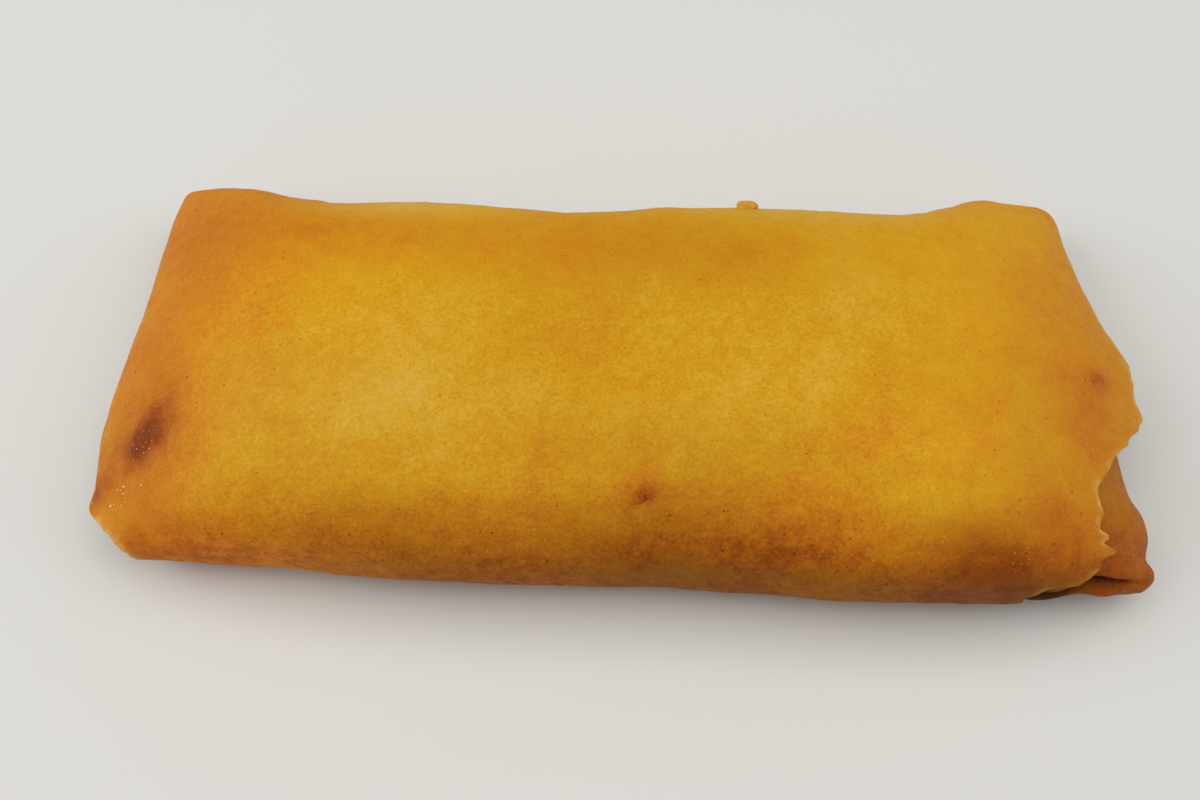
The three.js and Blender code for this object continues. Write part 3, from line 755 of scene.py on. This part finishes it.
# Where they lie along the roll, and round it over the top and under the roll.
FLECK_X, FLECK_TOP_Q, FLECK_UNDER_Q, FLECK_TOP_SHARE = (-64, 56), (6, 64), (-66, -20), 0.8
draw = np.random.default_rng(7)
fleck_x = draw.uniform(*FLECK_X, FLECKS)
on_top = draw.uniform(size=FLECKS) < FLECK_TOP_SHARE
top_q = draw.uniform(*FLECK_TOP_Q, FLECKS)
under_q = draw.uniform(*FLECK_UNDER_Q, FLECKS)
fleck_q = np.where(on_top, top_q, under_q)
fleck_radius = draw.uniform(*FLECK_RADIUS, FLECKS)
fleck_turn = draw.uniform(0, 2 * math.pi, FLECKS)
# Step to either side along and round the roll from which a normal is taken.
SLOPE_STEP = 0.3


def on_outer(x, q):
    """Point of the outer turn's skin at a length place and girth distance."""
    return turn_point(outer_turn, x, q, 0.0, outer_relief)


def outward(x, q):
    """Unit normal of the outer turn: the cross product of its slopes along and round it."""
    along = on_outer(x + SLOPE_STEP, q) - on_outer(x - SLOPE_STEP, q)
    around = on_outer(x, q + SLOPE_STEP) - on_outer(x, q - SLOPE_STEP)
    normal = np.cross(along, around)
    return normal / np.linalg.norm(normal, axis=-1, keepdims=True)


def fleck_points():
    """A ring of points at the fleck's radius in the sheet, sunk along the normal, and a tip,
    none of them below the surface that the roll rests on."""
    turn = fleck_turn[:, None] + np.arange(FLECK_SIDES) * 2 * math.pi / FLECK_SIDES
    ring_x = fleck_x[:, None] + fleck_radius[:, None] * np.cos(turn)
    ring_q = fleck_q[:, None] + fleck_radius[:, None] * np.sin(turn)
    up = outward(fleck_x, fleck_q)[:, None, :]
    skirt = on_outer(ring_x, ring_q) - FLECK_SINK * up
    tip = on_outer(fleck_x, fleck_q)[:, None, :] + FLECK_RISE * up
    return np.maximum(np.concatenate([skirt, tip], axis=1), (-np.inf, -np.inf, 0))


fleck_faces = []
for k in range(FLECKS):
    first = k * (FLECK_SIDES + 1)
    tip = first + FLECK_SIDES
    ring = [first + j for j in range(FLECK_SIDES)]
    fleck_faces += [(ring[j], ring[(j + 1) % FLECK_SIDES], tip) for j in range(FLECK_SIDES)]
    fleck_faces.append(tuple(reversed(ring)))
flecks = make_mesh("burnt_flecks", fleck_points(), fleck_faces)

# Scorched flour: dull and nearly black.
scorched = new_material("scorched_flour")
scorched_shader = add(scorched, "ShaderNodeBsdfPrincipled", {
    "Base Color": linear("#3A2210"), "Roughness": 0.85, "Specular IOR Level": 0.2,
})
add(scorched, "ShaderNodeOutputMaterial", {"Surface": scorched_shader.outputs["BSDF"]})
flecks.data.materials.append(scorched)
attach(flecks, "root")

# Beads of frying oil that stand by the left chip: clear domes under half a millimetre wide that
# catch the light, each on a skirt sunk in the crust. Length place, girth distance and radius.
BEADS = [
    (-62.8, 10.8, 0.24), (-62.3, 10.9, 0.13), (-62.0, 12.8, 0.13), (-61.0, 13.0, 0.19),
    (-61.0, 12.1, 0.14), (-61.5, 12.6, 0.10), (-58.2, 12.8, 0.16), (-61.8, 10.4, 0.10),
    (-61.0, 10.6, 0.12), (-60.4, 11.0, 0.11), (-59.6, 17.4, 0.09), (-58.4, 16.8, 0.09),
    (-57.6, 17.2, 0.10), (-58.2, 18.0, 0.08), (-57.4, 18.2, 0.08),
]
# Height as a share of the radius, and how deep the skirt is sunk.
BEAD_HEIGHT, BEAD_SUNK = 0.8, 0.05
BEAD_SIDES, BEAD_RINGS = 10, 3
bead_x, bead_q, bead_radius = np.array(BEADS).T


def bead_points():
    """Rings of a half ball from its foot up, and its top, each ring flat in the sheet, with one
    point in the middle of its sunk underside."""
    up = outward(bead_x, bead_q)[:, None, :]
    turn = np.arange(BEAD_SIDES) * 2 * math.pi / BEAD_SIDES
    rows = []
    for k in range(BEAD_RINGS):
        rise = math.pi / 2 * k / BEAD_RINGS
        reach = bead_radius[:, None] * math.cos(rise)
        ring_x = bead_x[:, None] + reach * np.cos(turn)
        ring_q = bead_q[:, None] + reach * np.sin(turn)
        sunk = BEAD_SUNK if k == 0 else 0.0
        height = bead_radius[:, None, None] * BEAD_HEIGHT * math.sin(rise) - sunk
        rows.append(on_outer(ring_x, ring_q) + height * up)
    middle = on_outer(bead_x, bead_q)[:, None, :]
    rows.append(middle + bead_radius[:, None, None] * BEAD_HEIGHT * up)
    rows.append(middle - BEAD_SUNK * up)
    return np.concatenate(rows, axis=1)


bead_faces = []
for k in range(len(bead_x)):
    first = k * (BEAD_RINGS * BEAD_SIDES + 2)
    top = first + BEAD_RINGS * BEAD_SIDES
    for r in range(BEAD_RINGS):
        for j in range(BEAD_SIDES):
            a = first + r * BEAD_SIDES + j
            b = first + r * BEAD_SIDES + (j + 1) % BEAD_SIDES
            if r < BEAD_RINGS - 1:
                bead_faces.append((a, b, b + BEAD_SIDES, a + BEAD_SIDES))
            else:
                bead_faces.append((a, b, top))
            if r == 0:
                bead_faces.append((b, a, top + 1))
beads = make_mesh("oil_beads", bead_points(), bead_faces)

# Frying oil: clear, with a wet gloss. A bead gathers light, so it is paler than the dough below.
oil = new_material("frying_oil")
oil_shader = add(oil, "ShaderNodeBsdfPrincipled", {
    "Base Color": linear("#E2B570"), "Roughness": 0.08, "Specular IOR Level": 0.5, "Coat Weight": 0.5,
    "Coat Roughness": 0.05,
})
add(oil, "ShaderNodeOutputMaterial", {"Surface": oil_shader.outputs["BSDF"]})
beads.data.materials.append(oil)
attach(beads, "root")

# Crumb of fried batter that sticks to the back edge: a lump two and a half millimetres long,
# rough all over, its foot sunk in the sheet. Its place is length place and girth distance.
CRUMB_AT, CRUMB_SIZE = (16.6, 62.0), (1.25, 0.75, 0.85)
# Its middle stands this share of its half height above the sheet, less what it is sunk by.
CRUMB_STANDS, CRUMB_SINK = 0.5, 0.1
CRUMB_ROUND, CRUMB_RISE = 40, 24
# Lumps on it: how many, how high at most as a share of its radius, and how sharply each falls off.
CRUMB_LUMPS, CRUMB_ROUGH, CRUMB_SHARP = 26, 0.30, 9


def crumb_points():
    """Rings from pole to pole of a ball of half sizes along, round and out, each point moved out
    or in by bells round random directions, with one pole point at either end."""
    polar = np.linspace(0, math.pi, CRUMB_RISE + 1)[1:-1, None]
    turn = np.arange(CRUMB_ROUND)[None, :] * 2 * math.pi / CRUMB_ROUND
    rings = np.stack(np.broadcast_arrays(
        np.sin(polar) * np.cos(turn), np.sin(polar) * np.sin(turn), np.cos(polar),
    ), axis=-1)
    ball = np.concatenate([rings.reshape(-1, 3), [(0, 0, 1), (0, 0, -1)]])
    draw = np.random.default_rng(15)
    lumps = draw.normal(size=(CRUMB_LUMPS, 3))
    lumps /= np.linalg.norm(lumps, axis=1, keepdims=True)
    heights = draw.uniform(-CRUMB_ROUGH, CRUMB_ROUGH, CRUMB_LUMPS)
    grown = 1 + (heights * np.exp((ball @ lumps.T - 1) * CRUMB_SHARP)).sum(axis=1)
    local = ball * grown[:, None] * np.array(CRUMB_SIZE)
    x, q = (np.array([c]) for c in CRUMB_AT)
    up = outward(x, q)[0]
    along = np.array([1.0, 0.0, 0.0])
    around = np.cross(up, along)
    centre = on_outer(x, q)[0] + (CRUMB_SIZE[2] * CRUMB_STANDS - CRUMB_SINK) * up
    return centre + local[:, :1] * along + local[:, 1:2] * around + local[:, 2:] * up


crumb_faces = []
for r in range(CRUMB_RISE - 2):
    for j in range(CRUMB_ROUND):
        a, b = r * CRUMB_ROUND + j, r * CRUMB_ROUND + (j + 1) % CRUMB_ROUND
        crumb_faces.append((a, a + CRUMB_ROUND, b + CRUMB_ROUND, b))
last_ring = (CRUMB_RISE - 2) * CRUMB_ROUND
for j in range(CRUMB_ROUND):
    after = (j + 1) % CRUMB_ROUND
    crumb_faces.append((j, after, last_ring + CRUMB_ROUND))
    crumb_faces.append((last_ring + after, last_ring + j, last_ring + CRUMB_ROUND + 1))
crumb = make_mesh("batter_crumb", crumb_points(), crumb_faces)

# Batter fried crisp: golden, matt, with a fine mottle, of which this is half a wave.
BATTER_MM = 0.3
batter = new_material("fried_batter")
batter_place = add(batter, "ShaderNodeTexCoord", {}).outputs["Object"]
batter_mottle = add(batter, "ShaderNodeTexNoise", {
    "Vector": batter_place, "Scale": 1 / (2 * BATTER_MM * MM), "Detail": 3.0, "Roughness": 0.6,
}).outputs["Fac"]
batter_tone = add(batter, "ShaderNodeMix", {
    "Factor": batter_mottle, 6: linear("#B87A18"), 7: linear("#E2B040"),
}, data_type="RGBA").outputs[2]
batter_shader = add(batter, "ShaderNodeBsdfPrincipled", {
    "Base Color": batter_tone, "Roughness": 0.55, "Specular IOR Level": 0.1,
})
add(batter, "ShaderNodeOutputMaterial", {"Surface": batter_shader.outputs["BSDF"]})
crumb.data.materials.append(batter)
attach(crumb, "root")

# The floor under the roll, three metres to a side: a plain pale surface with a thin glaze, which
# gives it a soft and nearly matt face.
FLOOR_HALF = 1500.0
floor_corners = FLOOR_HALF * np.array([(-1, -1, 0), (1, -1, 0), (1, 1, 0), (-1, 1, 0)])
floor = make_mesh("floor", floor_corners, [(0, 1, 2, 3)])
glaze = new_material("pale_glazed_floor")
floor_shader = add(glaze, "ShaderNodeBsdfPrincipled", {
    "Base Color": linear("#DBDAD5"), "Roughness": 0.4, "Specular IOR Level": 0.08,
})
add(glaze, "ShaderNodeOutputMaterial", {"Surface": floor_shader.outputs["BSDF"]})
floor.data.materials.append(glaze)

# Soft light: a wide panel above the roll, a smaller one at either side, and an even pale room.
ROOM_COLOUR, ROOM_LIGHT = "#F4F1EE", 0.26
world = bpy.data.worlds.new("pale_room")
world.use_nodes = True
background = world.node_tree.nodes["Background"]
background.inputs["Color"].default_value = linear(ROOM_COLOUR)
background.inputs["Strength"].default_value = ROOM_LIGHT
bpy.context.scene.world = world
# Name, place in metres, width and depth in metres, watts, and tilt to the side in degrees.
PANELS = [
    ("panel_above", (0.0, 0.15, 1.1), (1.8, 1.2), 8.7, 0.0),
    ("panel_left", (-0.8, -0.1, 0.45), (0.7, 0.9), 4.6, -60.0),
    ("panel_right", (0.8, 0.1, 0.45), (0.7, 0.9), 2.5, 60.0),
]
for name, at, (width, depth), watts, tilt in PANELS:
    panel = bpy.data.lights.new(name, "AREA")
    panel.shape = "RECTANGLE"
    panel.size, panel.size_y = width, depth
    panel.energy = watts
    lamp = bpy.data.objects.new(name, panel)
    lamp.location = at
    lamp.rotation_euler = (0, math.radians(tilt), 0)
    bpy.context.scene.collection.objects.link(lamp)

# The camera looks 60 degrees down from the front, close to the roll, through a 30 mm lens.
CAMERA_AT = (-0.717, -71.966, 123.518)
LOOKS_DOWN, TURNED = 60.0, 2.0
LENS, SENSOR, NEAREST = 30.0, 36.0, 10.0
eye = bpy.data.cameras.new("camera")
eye.lens = LENS
eye.sensor_width = SENSOR
eye.clip_start = NEAREST * MM
camera = bpy.data.objects.new("camera", eye)
camera.location = tuple(c * MM for c in CAMERA_AT)
camera.rotation_euler = (math.radians(90 - LOOKS_DOWN), 0, math.radians(TURNED))
bpy.context.scene.collection.objects.link(camera)
bpy.context.scene.camera = camera
bpy.context.scene.view_settings.view_transform = "Standard"
